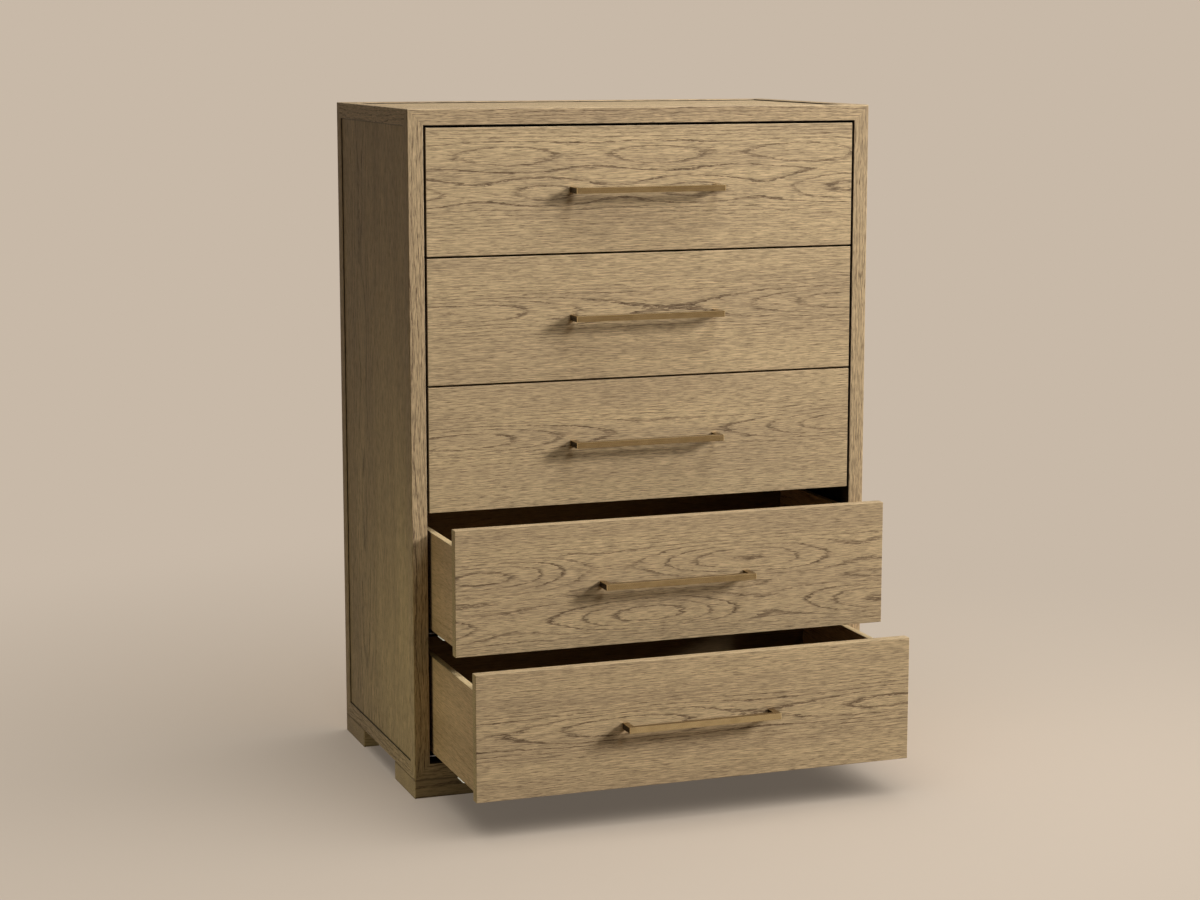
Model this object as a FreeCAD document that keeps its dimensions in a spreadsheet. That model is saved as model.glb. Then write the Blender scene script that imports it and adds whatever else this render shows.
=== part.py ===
import FreeCAD, Part
import os
import re
import Sketcher

# Chest of five drawers: a mitred oak frame with inset panels on four corner feet.
# X is the width and Y the depth, with the drawers opening towards -Y. Z is up from the floor.
# The origin is on the floor, at the middle of the space that the chest takes with its drawers as
# they are modelled: the lowest open furthest, the next one less, the other three closed.

# Driving dimensions in millimetres
SIZES = {
    # Case
    "case_width": 965,
    "case_depth": 545,
    "case_height": 1351,
    "frame_stock": 32,          # square section of posts and rails
    "frame_round": 2,           # eased edges of posts and rails
    "foot_height": 37,
    "foot_arm": 150,            # length of each arm of an L-shaped foot
    "foot_stock": 32,
    "panel_thickness": 20,
    "panel_recess": 3,          # panels lie this far inside the frame's faces
    "back_thickness": 9,
    "cleat_height": 44,
    "cleat_below": 14,          # cleat's lower edge, below the drawer box
    # Drawer fronts
    "drawer_gap": 4,            # gap around and between the inset fronts
    "front_thickness": 20,
    "front_round": 1,
    "housing_depth": 8,         # grooves in a front that take the box sides
    # Drawer boxes
    "box_clearance": 7,         # from the case opening's side to the box
    "box_thickness": 14,
    "box_length": 460,          # behind the front
    "box_height": 195,
    "box_rise": 15.5,           # from the front's lower edge to the box
    "box_round": 1.5,           # eased top edges of the sides
    "bottom_thickness": 6,
    "bottom_rise": 13,          # room for the runners below the bottom
    "groove_depth": 7,
    # Pulls
    "pull_length": 312,
    "pull_section": 12,
    "pull_projection": 40,
    "pull_corner": 2,           # outer corners, seen from above
    "pull_edge": 0.4,           # all other outer edges
    "screw_radius": 2,
    "screw_clearance": 0.25,    # around the shank, in the front and in the pull
    "screw_grip": 10,           # length of screw inside a leg of the pull
    "screw_head_radius": 4,
    "screw_head_height": 2.5,
    # Runners
    "steel": 1.5,               # sheet thickness
    "running_gap": 0.3,         # between runners that slide in each other
    "runner_length": 457,
    "runner_setback": 3,        # from the back of a closed front to the runners
    "middle_setback": 10,
    "middle_length": 430,
    "drawer_runner_length": 450,
    "flange_height": 16,        # wall flange, above the lower edge of the box
    "web_drop": 12,             # underside of a case runner, below the box
    "rail_start": 33,           # from the opening's side to the raised rail
    "rail_width": 20,
    "skirt_drop": 6,            # lower edge of a drawer runner, below the box
    "lip_start": 58.5,          # from the opening's side to the inner lip
    "lip_height": 10,
    "clip_start": 97,           # from the face of the front to the clip
    "clip_length": 40,
    "clip_height": 5,
    "clip_inset": 1,            # from the outside of the box to the clip
    # Drawers as modelled
    "drawer_4_open": 170,
    "drawer_5_open": 297,
}

DRAWERS = 5
OPEN_DRAWERS = {4: "drawer_4_open", 5: "drawer_5_open"}

doc = FreeCAD.newDocument("chest")
sheet = doc.addObject("Spreadsheet::Sheet", "dims")
for row, (alias, value) in enumerate(SIZES.items(), start=1):
    sheet.set(f"A{row}", alias)
    sheet.set(f"B{row}", str(value))
    sheet.setAlias(f"B{row}", alias)
doc.recompute()

# Sizes that follow from the driving ones
opening_width = "(case_width - 2 * frame_stock)"
opening_height = "(case_height - foot_height - 2 * frame_stock)"
opening_bottom = "(foot_height + frame_stock)"
front_width = f"({opening_width} - 2 * drawer_gap)"
front_height = f"(({opening_height} - {DRAWERS + 1} * drawer_gap) / {DRAWERS})"
box_half_width = f"({opening_width} / 2 - box_clearance)"
box_inner_half = f"({box_half_width} - box_thickness)"
face_y = "(-(case_depth - max(drawer_4_open; drawer_5_open) - pull_projection) / 2)"
back_y = f"({face_y} + case_depth)"
leg_x = "((pull_length - pull_section) / 2)"

# Runner section, measured from the opening's side and from the box's lower edge
rail_end = "(rail_start + rail_width)"
web_top = "(steel - web_drop)"
drawer_runner_left = "(rail_start - 2 * (running_gap + steel))"
drawer_runner_right = f"({rail_end} + 2 * (running_gap + steel))"
middle_left = "(rail_start - running_gap - steel)"
middle_right = f"({rail_end} + running_gap + steel)"
middle_top = "(bottom_rise - steel - running_gap)"
rail_top = f"({middle_top} - steel - running_gap)"

subparts = {}


def formula(text):
    """Turn plain size names into references to the sheet."""
    return re.sub(r"[a-z_][a-z_0-9]*", lambda m: "dims." + m[0] if m[0] in SIZES else m[0], text)


def bind(item, **sizes):
    """Bind properties of an object to formulas."""
    for prop, text in sizes.items():
        item.setExpression(prop, formula(text))


def place(item, x="0", y="0", z="0"):
    """Bind the position of an object to formulas."""
    for axis, text in zip("xyz", (x, y, z)):
        item.setExpression(f"Placement.Base.{axis}", formula(text))


def keep(item, node):
    """Make an object the sub-part of this name."""
    item.Label = node
    subparts[node] = item
    return item


def box(name, size, at):
    """A board with its lowest corner at a point."""
    board = doc.addObject("Part::Box", name)
    bind(board, Length=size[0], Width=size[1], Height=size[2])
    place(board, *at)
    return board


def cylinder(name, radius, height, at):
    """A round bar that runs along +Y from a point."""
    bar = doc.addObject("Part::Cylinder", name)
    bar.Placement.Rotation = FreeCAD.Rotation(FreeCAD.Vector(1, 0, 0), -90)
    bind(bar, Radius=radius, Height=height)
    place(bar, *at)
    return bar


def group(name, items):
    """Separate solids that share one node."""
    together = doc.addObject("Part::Compound", name)
    together.Links = items
    return together


def plane_of(body, role):
    """One of the origin planes of a body."""
    return next(item for item in body.Origin.OriginFeatures if item.Role == role)


def sketch_on(body, role, name, lift="0"):
    """An empty sketch on an origin plane, lifted along the plane's normal."""
    sketch = body.newObject("Sketcher::SketchObject", name)
    sketch.AttachmentSupport = [(plane_of(body, role), "")]
    sketch.MapMode = "FlatFace"
    if lift != "0":
        sketch.setExpression("AttachmentOffset.Base.z", formula(lift))
    return sketch


def tie(sketch, edge, corner):
    """Tie the start of an edge to a pair of formulas."""
    for kind, axis, text in (("DistanceX", -2, corner[0]), ("DistanceY", -1, corner[1])):
        if text == "0":
            sketch.addConstraint(Sketcher.Constraint("PointOnObject", edge, 1, axis))
            continue
        value = float(sketch.evalExpression(formula(text)))
        index = sketch.addConstraint(Sketcher.Constraint(kind, -1, 1, edge, 1, value))
        sketch.setExpression(f"Constraints[{index}]", formula(text))


def outline(sketch, corners):
    """Draw a closed outline with straight sides through corners given as formulas."""
    points = []
    for corner in corners:
        x, y = (float(sketch.evalExpression(formula(text))) for text in corner)
        points.append(FreeCAD.Vector(x, y, 0))
    first = sketch.GeometryCount
    count = len(points)
    for step in range(count):
        line = Part.LineSegment(points[step], points[(step + 1) % count])
        sketch.addGeometry(line, False)
    for step in range(count):
        following = first + (step + 1) % count
        sketch.addConstraint(Sketcher.Constraint("Coincident", first + step, 2, following, 1))
    for step, corner in enumerate(corners):
        tie(sketch, first + step, corner)


def rectangle(sketch, left, low, right, high):
    """Draw an upright rectangle between two corners."""
    outline(sketch, [(left, low), (right, low), (right, high), (left, high)])


def circle(sketch, x, y, radius):
    """Draw a circle about a point."""
    centre = [float(sketch.evalExpression(formula(text))) for text in (x, y)]
    size = float(sketch.evalExpression(formula(radius)))
    normal = FreeCAD.Vector(0, 0, 1)
    index = sketch.addGeometry(Part.Circle(FreeCAD.Vector(centre[0], centre[1], 0), normal, size), False)
    for kind, axis, text, value in (("DistanceX", -2, x, centre[0]), ("DistanceY", -1, y, centre[1])):
        if text == "0":
            sketch.addConstraint(Sketcher.Constraint("PointOnObject", index, 3, axis))
            continue
        tied = sketch.addConstraint(Sketcher.Constraint(kind, -1, 1, index, 3, value))
        sketch.setExpression(f"Constraints[{tied}]", formula(text))
    tied = sketch.addConstraint(Sketcher.Constraint("Radius", index, size))
    sketch.setExpression(f"Constraints[{tied}]", formula(radius))


def pad(body, sketch, name, length, reverse=False, both_ways=False):
    """Give a sketch its thickness."""
    block = body.newObject("PartDesign::Pad", name)
    block.Profile = sketch
    block.Reversed = reverse
    if both_ways:
        block.SideType = "Symmetric"
    bind(block, Length=length)
    return block


def pocket(body, sketch, name, depth=None, reverse=False):
    """Cut a sketch to a depth, or right through both ways."""
    cut = body.newObject("PartDesign::Pocket", name)
    cut.Profile = sketch
    cut.Reversed = reverse
    if depth is None:
        cut.Type = "ThroughAll"
        cut.SideType = "Symmetric"
    else:
        bind(cut, Length=depth)
    return cut


def ease(body, feature, name, radius, wanted):
    """Round the edges of a feature whose middle and direction pass a test."""
    doc.recompute()
    edges = []
    for number, edge in enumerate(feature.Shape.Edges, start=1):
        start = edge.Vertexes[0].Point
        end = edge.Vertexes[-1].Point
        if wanted((start + end) / 2, end - start):
            edges.append(f"Edge{number}")
    rounded = body.newObject("PartDesign::Fillet", name)
    rounded.Base = (feature, edges)
    bind(rounded, Radius=radius)
    return rounded


def frame_member(node, length, along, inward, across, at):
    """A post or rail, mitred at both ends against its two neighbours.

    In its own frame the member runs along X about its middle, with its outer edge on the X axis
    and its section towards +Y and +Z. Three such members share each corner of the case, each with
    the third of the corner cube that lies nearest to it.
    """
    body = doc.addObject("PartDesign::Body", node)
    section = sketch_on(body, "YZ_Plane", node + "_section")
    rectangle(section, "0", "0", "frame_stock", "frame_stock")
    bar = pad(body, section, node + "_bar", length, both_ways=True)

    def outer(middle, direction):
        lengthwise = abs(direction.x) > abs(direction.y) + abs(direction.z)
        return lengthwise and min(middle.y, middle.z) < 0.01

    ease(body, bar, node + "_eased", "frame_round", outer)
    for role in ("XZ_Plane", "XY_Plane"):
        mitre = sketch_on(body, role, f"{node}_mitre_{role[:2].lower()}")
        for side in ("-", ""):
            tip = f"({side}({length} / 2 + frame_stock))"
            root = f"({side}({length} / 2 - 2 * frame_stock))"
            outline(mitre, [(tip, "-frame_stock"), (root, "2 * frame_stock"), (tip, "2 * frame_stock")])
        pocket(body, mitre, f"{node}_cut_{role[:2].lower()}")
    body.Placement.Rotation = FreeCAD.Rotation(along, inward, across, "XYZ")
    place(body, *at)
    return keep(body, node)


def frame():
    """The twelve members on the edges of the case, each placed by its outer edge."""
    right, left = FreeCAD.Vector(1, 0, 0), FreeCAD.Vector(-1, 0, 0)
    rear, front = FreeCAD.Vector(0, 1, 0), FreeCAD.Vector(0, -1, 0)
    up, down = FreeCAD.Vector(0, 0, 1), FreeCAD.Vector(0, 0, -1)
    sides = {"left": ("-case_width / 2", right), "right": ("case_width / 2", left)}
    ends = {"front": (face_y, rear), "rear": (back_y, front)}
    levels = {"bottom": ("foot_height", up), "top": ("case_height", down)}
    middle_y = f"({face_y} + case_depth / 2)"
    middle_z = "((case_height + foot_height) / 2)"

    def member(node, length, inward, across, at):
        frame_member(node, length, inward.cross(across), inward, across, at)

    for end, (y, inward) in ends.items():
        for side, (x, across) in sides.items():
            member(f"{end}_{side}_post", "(case_height - foot_height)", inward, across, (x, y, middle_z))
    for level, (z, across) in levels.items():
        for end, (y, inward) in ends.items():
            member(f"{level}_{end}_rail", "case_width", inward, across, ("0", y, z))
        for side, (x, inward) in sides.items():
            member(f"{level}_{side}_rail", "case_depth", inward, across, (x, middle_y, z))


def panels():
    """Boards between the members, set back from the frame's faces."""
    inner_x = f"(-{opening_width} / 2)"
    inner_y = f"({face_y} + frame_stock)"
    inner_depth = "(case_depth - 2 * frame_stock)"
    keep(box("top_board", (opening_width, inner_depth, "panel_thickness"),
             (inner_x, inner_y, "case_height - panel_recess - panel_thickness")), "top_panel")
    keep(box("bottom_board", (opening_width, inner_depth, "panel_thickness"),
             (inner_x, inner_y, "foot_height + panel_recess")), "bottom_panel")
    keep(box("left_board", ("panel_thickness", inner_depth, opening_height),
             ("-case_width / 2 + panel_recess", inner_y, opening_bottom)), "left_side_panel")
    keep(box("right_board", ("panel_thickness", inner_depth, opening_height),
             ("case_width / 2 - panel_recess - panel_thickness", inner_y, opening_bottom)),
         "right_side_panel")
    keep(box("back_board", (opening_width, "back_thickness", opening_height),
             (inner_x, f"{back_y} - panel_recess - back_thickness", opening_bottom)), "back_panel")


def feet():
    """Four L-shaped feet, flush with the frame above them."""
    made = []
    turns = {
        "front_left": (0, "-case_width / 2", face_y),
        "front_right": (90, "case_width / 2", face_y),
        "rear_right": (180, "case_width / 2", back_y),
        "rear_left": (270, "-case_width / 2", back_y),
    }
    for corner, (turn, x, y) in turns.items():
        body = doc.addObject("PartDesign::Body", f"{corner}_foot")
        plan = sketch_on(body, "XY_Plane", f"{corner}_foot_plan")
        outline(plan, [("0", "0"), ("foot_arm", "0"), ("foot_arm", "foot_stock"),
                       ("foot_stock", "foot_stock"), ("foot_stock", "foot_arm"), ("0", "foot_arm")])
        block = pad(body, plan, f"{corner}_foot_block", "foot_height")

        def outer(middle, direction):
            upright = abs(direction.z) > abs(direction.x) + abs(direction.y)
            return upright and min(middle.x, middle.y) < 0.01

        ease(body, block, f"{corner}_foot_eased", "frame_round", outer)
        body.Placement.Rotation = FreeCAD.Rotation(FreeCAD.Vector(0, 0, 1), turn)
        place(body, x, y)
        made.append(body)
    keep(group("foot_set", made), "feet")


def runner_pair(name, corners, length, y, z):
    """A left runner of the given section and its mirror image on the right."""
    section = doc.addObject("Sketcher::SketchObject", f"{name}_section")
    section.Placement.Rotation = FreeCAD.Rotation(FreeCAD.Vector(1, 0, 0), 90)
    place(section, f"-{opening_width} / 2", y, z)
    outline(section, corners)
    left = doc.addObject("Part::Extrusion", f"{name}_left")
    left.Base = section
    left.DirMode = "Custom"
    left.Dir = FreeCAD.Vector(0, 1, 0)
    left.Solid = True
    bind(left, LengthFwd=length)
    return [left, mirrored(left, f"{name}_right")]


def mirrored(item, name):
    """The mirror image of an object, on the other side of the chest."""
    image = doc.addObject("Part::Mirroring", name)
    image.Source = item
    image.Normal = FreeCAD.Vector(1, 0, 0)
    return image


def channel(left, right, low, high):
    """Section of a steel channel, open at the bottom."""
    return [
        (left, low),
        (f"{left} + steel", low),
        (f"{left} + steel", f"{high} - steel"),
        (f"{right} - steel", f"{high} - steel"),
        (f"{right} - steel", low),
        (right, low),
        (right, high),
        (left, high),
    ]


def case_runner_section():
    """A wall flange, a raised rail and a lip, bent from one sheet."""
    rail_in = "(rail_start + steel)"
    rail_out = f"({rail_end} - steel)"
    return [
        ("0", "-web_drop"),
        (rail_in, "-web_drop"),
        (rail_in, f"{rail_top} - steel"),
        (rail_out, f"{rail_top} - steel"),
        (rail_out, "-web_drop"),
        ("lip_start + steel", "-web_drop"),
        ("lip_start + steel", "lip_height - web_drop"),
        ("lip_start", "lip_height - web_drop"),
        ("lip_start", web_top),
        (rail_end, web_top),
        (rail_end, rail_top),
        ("rail_start", rail_top),
        ("rail_start", web_top),
        ("steel", web_top),
        ("steel", "flange_height"),
        ("0", "flange_height"),
    ]


def drawer_front(name, y, z):
    """The inset front, grooved on its back for the box."""
    body = doc.addObject("PartDesign::Body", f"{name}_front_board")
    face = sketch_on(body, "XZ_Plane", f"{name}_face")
    rectangle(face, f"-{front_width} / 2", "0", f"{front_width} / 2", front_height)
    board = pad(body, face, f"{name}_board", "front_thickness", reverse=True)
    thickness = sheet.get("front_thickness")

    def not_back(middle, direction):
        return middle.y < thickness - 0.01

    ease(body, board, f"{name}_face_eased", "front_round", not_back)
    housings = sketch_on(body, "XY_Plane", f"{name}_housings", lift="box_rise")
    groove_y = "(front_thickness - housing_depth)"
    rectangle(housings, f"-{box_half_width}", groove_y, f"-{box_inner_half}", "front_thickness")
    rectangle(housings, box_inner_half, groove_y, box_half_width, "front_thickness")
    pocket(body, housings, f"{name}_housing_cut", "box_height", reverse=True)
    groove = sketch_on(body, "XY_Plane", f"{name}_groove", lift="box_rise + bottom_rise")
    rectangle(groove, f"-{box_inner_half}", "front_thickness - groove_depth", box_inner_half,
              "front_thickness")
    pocket(body, groove, f"{name}_groove_cut", "bottom_thickness", reverse=True)
    holes = sketch_on(body, "XZ_Plane", f"{name}_screw_holes")
    for side in ("-", ""):
        circle(holes, f"{side}{leg_x}", f"{front_height} / 2", "screw_radius + screw_clearance")
    pocket(body, holes, f"{name}_screw_cut")
    place(body, "0", y, z)
    return body


def drawer_side(name, y, z):
    """The left box side, a board with its groove for the bottom; it enters the front's groove."""
    body = doc.addObject("PartDesign::Body", f"{name}_left_board")
    section = sketch_on(body, "XZ_Plane", f"{name}_side_section")
    groove_x = "(box_thickness - groove_depth)"
    outline(section, [
        ("0", "0"),
        ("box_thickness", "0"),
        ("box_thickness", "bottom_rise"),
        (groove_x, "bottom_rise"),
        (groove_x, "bottom_rise + bottom_thickness"),
        ("box_thickness", "bottom_rise + bottom_thickness"),
        ("box_thickness", "box_height"),
        ("0", "box_height"),
    ])
    board = pad(body, section, f"{name}_side_board", "box_length + housing_depth", reverse=True)
    top = sheet.get("box_height")

    def top_edge(middle, direction):
        return middle.z > top - 0.01 and abs(direction.y) > abs(direction.x)

    ease(body, board, f"{name}_side_eased", "box_round", top_edge)
    place(body, f"-{box_half_width}", f"{y} + front_thickness - housing_depth", z)
    return body


def drawer_pull(name, y, z):
    """A square bar on two square legs, with the two screws that hold it through the front."""
    body = doc.addObject("PartDesign::Body", f"{name}_bar")
    plan = sketch_on(body, "XY_Plane", f"{name}_pull_plan")
    end = "(pull_length / 2)"
    inner = f"({end} - pull_section)"
    bar_y = "(pull_section - pull_projection)"
    outline(plan, [
        (f"-{end}", "0"),
        (f"-{end}", "-pull_projection"),
        (end, "-pull_projection"),
        (end, "0"),
        (inner, "0"),
        (inner, bar_y),
        (f"-{inner}", bar_y),
        (f"-{inner}", "0"),
    ])
    solid = pad(body, plan, f"{name}_pull_bar", "pull_section", both_ways=True)
    reach = sheet.get("pull_projection")
    half = sheet.get("pull_length") / 2

    def elbow(middle, direction):
        return abs(direction.z) > abs(direction.x) + abs(direction.y) and middle.y < 0.01 - reach

    def long_edge(middle, direction):
        level = abs(direction.z) < 0.01
        outside = middle.y < 0.01 - reach or abs(middle.x) > half - 0.01
        return level and outside and middle.y < -0.01

    bent = ease(body, solid, f"{name}_elbows", "pull_corner", elbow)
    ease(body, bent, f"{name}_arrises", "pull_edge", long_edge)
    holes = sketch_on(body, "XZ_Plane", f"{name}_blind_holes")
    for side in ("-", ""):
        circle(holes, f"{side}{leg_x}", "0", "screw_radius + screw_clearance")
    pocket(body, holes, f"{name}_blind_cut", "screw_grip + 2 * screw_clearance", reverse=True)
    place(body, "0", y, z)
    screws = []
    for side, sign in (("left", "-"), ("right", "")):
        shank = cylinder(f"{name}_{side}_shank", "screw_radius", "screw_grip + front_thickness",
                         (f"{sign}{leg_x}", f"{y} - screw_grip", z))
        head = cylinder(f"{name}_{side}_head", "screw_head_radius", "screw_head_height",
                        (f"{sign}{leg_x}", f"{y} + front_thickness", z))
        screw = doc.addObject("Part::Fuse", f"{name}_{side}_screw")
        screw.Base = shank
        screw.Tool = head
        screws.append(screw)
    return group(f"{name}_pull_set", [body] + screws)


def drawer(number):
    """One drawer with its runners, opened as far as it is modelled."""
    name = f"drawer_{number}"
    opened = OPEN_DRAWERS.get(number, "0")
    y = f"({face_y} - {opened})"
    below = DRAWERS - number
    z = f"({opening_bottom} + drawer_gap + {below} * ({front_height} + drawer_gap))"
    box_z = f"({z} + box_rise)"
    behind = f"({y} + front_thickness)"
    keep(drawer_front(name, y, z), f"{name}_front")
    left = keep(drawer_side(name, y, box_z), f"{name}_left_side")
    keep(mirrored(left, f"{name}_right_board"), f"{name}_right_side")
    keep(box(f"{name}_back_board",
             (f"2 * {box_inner_half}", "box_thickness", "box_height - bottom_rise - bottom_thickness"),
             (f"-{box_inner_half}", f"{behind} + box_length - box_thickness",
              f"{box_z} + bottom_rise + bottom_thickness")), f"{name}_back")
    keep(box(f"{name}_bottom_board",
             (f"2 * ({box_inner_half} + groove_depth)", "box_length + groove_depth", "bottom_thickness"),
             (f"-{box_inner_half} - groove_depth", f"{behind} - groove_depth",
              f"{box_z} + bottom_rise")), f"{name}_bottom")
    keep(drawer_pull(name, y, f"({z} + {front_height} / 2)"), f"{name}_pull")
    runners = runner_pair(f"{name}_slide", channel(drawer_runner_left, drawer_runner_right,
                                                   "(-skirt_drop)", "bottom_rise"),
                          "drawer_runner_length", f"{behind} + runner_setback", box_z)
    clip = box(f"{name}_clip_left",
               (f"{drawer_runner_left} - box_clearance - clip_inset", "clip_length", "clip_height"),
               (f"-{box_half_width} + clip_inset", f"{y} + clip_start", f"{box_z} - clip_height"))
    clips = [clip, mirrored(clip, f"{name}_clip_right")]
    keep(group(f"{name}_runner_set", runners + clips), f"{name}_runners")
    middle = runner_pair(f"{name}_middle", channel(middle_left, middle_right,
                                                   f"({web_top} + running_gap)", middle_top),
                         "middle_length", f"{face_y} - {opened} / 2 + front_thickness + middle_setback",
                         box_z)
    keep(group(f"{name}_middle_set", middle), f"{name}_middle_runners")
    return box_z


def case_fittings(levels):
    """Cleats that pack the side panels out to the posts, and the runners fixed to them."""
    cleats = []
    runners = []
    inset = "(frame_stock - panel_recess - panel_thickness)"
    for number, level in enumerate(levels, start=1):
        cleat = box(f"cleat_{number}_left", (inset, "case_depth - 2 * frame_stock", "cleat_height"),
                    (f"-{opening_width} / 2 - {inset}", f"{face_y} + frame_stock",
                     f"{level} - cleat_below"))
        cleats += [cleat, mirrored(cleat, f"cleat_{number}_right")]
        runners += runner_pair(f"case_runner_{number}", case_runner_section(), "runner_length",
                               f"{face_y} + front_thickness + runner_setback", level)
    keep(group("cleat_set", cleats), "runner_cleats")
    keep(group("case_runner_set", runners), "case_runners")


frame()
panels()
feet()
case_fittings([drawer(number) for number in range(1, DRAWERS + 1)])
doc.recompute()

for item in doc.Objects:
    if "Invalid" in item.State or "Error" in item.State:
        raise RuntimeError(f"{item.Label} failed: {item.State}")
for node, item in subparts.items():
    if item.Shape.isNull() or not item.Shape.isValid():
        raise RuntimeError(f"{node} has no valid shape")

os.makedirs("parts", exist_ok=True)
for node, item in subparts.items():
    item.Shape.exportStep(f"parts/{node}.step")
    box_of = item.Shape.BoundBox
    print(node, len(item.Shape.Solids), "solids,", round(box_of.XLength, 1), round(box_of.YLength, 1),
          round(box_of.ZLength, 1))
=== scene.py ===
import math

import bmesh
import bpy
from mathutils import Matrix, Vector


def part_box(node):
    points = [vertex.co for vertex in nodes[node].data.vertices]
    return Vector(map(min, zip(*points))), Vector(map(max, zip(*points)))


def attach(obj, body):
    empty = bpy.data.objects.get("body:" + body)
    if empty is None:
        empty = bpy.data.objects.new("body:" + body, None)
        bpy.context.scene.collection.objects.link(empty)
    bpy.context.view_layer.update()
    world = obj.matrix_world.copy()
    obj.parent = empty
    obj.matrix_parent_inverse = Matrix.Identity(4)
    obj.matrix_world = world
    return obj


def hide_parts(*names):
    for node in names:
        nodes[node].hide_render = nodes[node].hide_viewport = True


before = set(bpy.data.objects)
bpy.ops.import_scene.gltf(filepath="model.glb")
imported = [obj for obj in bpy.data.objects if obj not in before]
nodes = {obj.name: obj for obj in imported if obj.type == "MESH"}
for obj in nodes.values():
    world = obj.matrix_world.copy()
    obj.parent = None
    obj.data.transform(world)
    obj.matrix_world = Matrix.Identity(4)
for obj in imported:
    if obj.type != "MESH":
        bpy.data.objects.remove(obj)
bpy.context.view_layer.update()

# Case frame
# Twelve square oak members, mitred three to a corner and glued: four posts and eight rails.
# The oak is flat sawn, brushed and weathered, so its open pores stay grey-brown on a pale ground.


def srgb(red, green, blue):
    """A colour written as it looks on a screen, from 0 to 255, as the shader wants it."""
    channels = []
    for value in (red, green, blue):
        share = value / 255
        channels.append(share / 12.92 if share <= 0.04045 else ((share + 0.055) / 1.055) ** 2.4)
    return (*channels, 1.0)


def add(tree, kind, inputs=None, **settings):
    """Add a node. An input is given a plain value or the output that feeds it."""
    made = tree.nodes.new(kind)
    for name, value in settings.items():
        setattr(made, name, value)
    for key, value in (inputs or {}).items():
        if isinstance(value, bpy.types.NodeSocket):
            tree.links.new(value, made.inputs[key])
        else:
            made.inputs[key].default_value = value
    return made


def maths(tree, operation, first, second=0.0):
    """The result of a Math node."""
    return add(tree, "ShaderNodeMath", {0: first, 1: second}, operation=operation).outputs[0]


def ramp(tree, value, low, high, start=0.0, end=1.0):
    """A value that eases from start to end while the input goes from low to high."""
    made = add(tree, "ShaderNodeMapRange", {"Value": value, "From Min": low, "From Max": high,
                                            "To Min": start, "To Max": end},
               interpolation_type="SMOOTHSTEP")
    return made.outputs["Result"]


def noise(tree, vector, rate, detail, roughness):
    """Noise whose rate along each axis is given per metre."""
    scaled = add(tree, "ShaderNodeVectorMath", {0: vector, 1: rate}, operation="MULTIPLY")
    return add(tree, "ShaderNodeTexNoise", {"Vector": scaled.outputs[0], "Scale": 1.0,
                                            "Detail": detail, "Roughness": roughness})


def blend(tree, share, first, second, mode="MIX"):
    """Two colours mixed by a share."""
    made = tree.nodes.new("ShaderNodeMix")
    made.data_type = "RGBA"
    made.blend_type = mode
    for socket, value in ((made.inputs[0], share), (made.inputs[6], first), (made.inputs[7], second)):
        if isinstance(value, bpy.types.NodeSocket):
            tree.links.new(value, socket)
        else:
            socket.default_value = value
    return made.outputs[2]


def new_group(name, inputs, outputs):
    """An empty node group with its sockets, each given as a name and a kind."""
    group = bpy.data.node_groups.new(name, "ShaderNodeTree")
    for direction, sockets in (("INPUT", inputs), ("OUTPUT", outputs)):
        for label, kind in sockets.items():
            group.interface.new_socket(label, in_out=direction, socket_type=f"NodeSocket{kind}")
    return group, group.nodes.new("NodeGroupInput").outputs, group.nodes.new("NodeGroupOutput").inputs


# How often each part of the figure changes per metre: along the grain, across it, into the board.
DRIFT_RATE = (2.4, 4.0, 4.0)
RIPPLE_RATE = (5.0, 34.0, 34.0)
FEATHER_RATE = (45.0, 420.0, 420.0)
BREAK_RATE = (16.0, 70.0, 70.0)
PORE_RATE = (48.0, 850.0, 850.0)
FIBRE_RATE = (34.0, 740.0, 740.0)
CLOUD_RATE = (1.6, 20.0, 20.0)

# How far ripples and feathering move a year's line, and where the line starts and ends in its year,
# as shares of the ring's width.
RIPPLE_SHIFT = 0.5
FEATHER_SHIFT = 0.7
LINE_START = 0.93
LINE_END = 0.21
NEXT_YEAR = 0.08

# A line is fainter in a poor year, where the rings run steeply into the face, and where it breaks.
POOR_YEAR = 0.7
STEEP_RANGE = (0.35, 0.8)
STEEP_LINE = 0.3
BREAK_RANGE = (0.36, 0.56)
BROKEN_LINE = 0.5

# How far to the side of the heart the trunk's swelling is felt in full, where it has faded, and
# what is left of it there.
SWELL_REACH = (0.010, 0.040)
SWELL_LEFT = 0.1
TWIN_BLEND = 0.25

# A pore is open where its noise is over this range, which it reaches sooner in a year's line.
PORE_RANGE = (0.52, 0.70)
PORE_CROWDING = 0.14

# Fibres stand up by this share and a year's line lies this deep, where an open pore is 1 deep.
FIBRE_HEIGHT = 0.6
LINE_DEPTH = 0.5

# Each seed is another place in the wood, this far from the last.
SEED_STEP = (0.731, 0.417, 0.253)


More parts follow.
